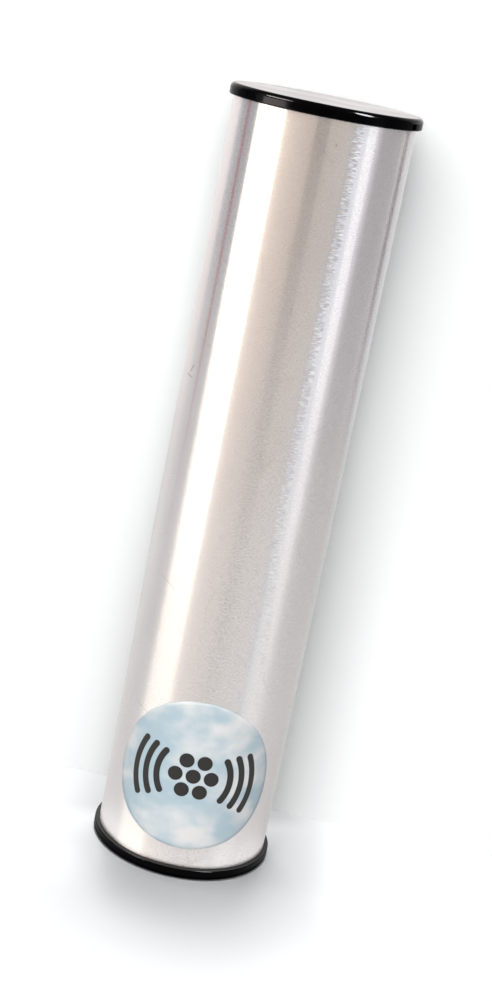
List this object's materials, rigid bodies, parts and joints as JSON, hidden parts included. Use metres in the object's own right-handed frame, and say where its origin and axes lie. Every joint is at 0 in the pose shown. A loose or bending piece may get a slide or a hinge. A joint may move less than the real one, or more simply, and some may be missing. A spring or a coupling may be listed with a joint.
{
  "type": "ganza shaker",
  "caption": "Hand shaker: a brushed metal tube closed by two flanged plastic end caps, with loose round shot that runs from end to end.",
  "frame": {"origin": "middle of the bottom cap's outer face, which the shaker stands on", "axes": "+Z along the tube towards the top cap; -Y towards the front, which has the label; +X to the right seen from the front"},
  "size_m": [0.0536, 0.0536, 0.2249],
  "materials": {
    "tube_metal": "brushed round the tube",
    "cap_plastic": "smooth moulded gloss",
    "label_film": "satin print",
    "shot_steel": "polished balls"
  },
  "bodies": {
    "shell": {"tube": "tube_metal", "top_cap": "cap_plastic", "bottom_cap": "cap_plastic", "label": "label_film"},
    "core_shot": {"shot_core": "shot_steel"},
    "sector_shot_1": {"shot_inner_1": "shot_steel", "shot_middle_1": "shot_steel", "shot_outer_1": "shot_steel"},
    "sector_shot_2": {"shot_inner_2": "shot_steel", "shot_middle_2": "shot_steel", "shot_outer_2": "shot_steel"},
    "sector_shot_3": {"shot_inner_3": "shot_steel", "shot_middle_3": "shot_steel", "shot_outer_3": "shot_steel"},
    "sector_shot_4": {"shot_inner_4": "shot_steel", "shot_middle_4": "shot_steel", "shot_outer_4": "shot_steel"},
    "sector_shot_5": {"shot_inner_5": "shot_steel", "shot_middle_5": "shot_steel", "shot_outer_5": "shot_steel"},
    "sector_shot_6": {"shot_inner_6": "shot_steel", "shot_middle_6": "shot_steel", "shot_outer_6": "shot_steel"}
  },
  "joints": [
    {"name": "core_slide", "type": "slide", "parent": "shell", "child": "core_shot", "axis": [0, 0, 1], "range_m": [0, 0.1957]},
    {"name": "sector_slide_1", "type": "slide", "parent": "shell", "child": "sector_shot_1", "axis": [0, 0, 1], "range_m": [0, 0.1957]},
    {"name": "sector_slide_2", "type": "slide", "parent": "shell", "child": "sector_shot_2", "axis": [0, 0, 1], "range_m": [0, 0.1957]},
    {"name": "sector_slide_3", "type": "slide", "parent": "shell", "child": "sector_shot_3", "axis": [0, 0, 1], "range_m": [0, 0.1957]},
    {"name": "sector_slide_4", "type": "slide", "parent": "shell", "child": "sector_shot_4", "axis": [0, 0, 1], "range_m": [0, 0.1957]},
    {"name": "sector_slide_5", "type": "slide", "parent": "shell", "child": "sector_shot_5", "axis": [0, 0, 1], "range_m": [0, 0.1957]},
    {"name": "sector_slide_6", "type": "slide", "parent": "shell", "child": "sector_shot_6", "axis": [0, 0, 1], "range_m": [0, 0.1957]}
  ]
}
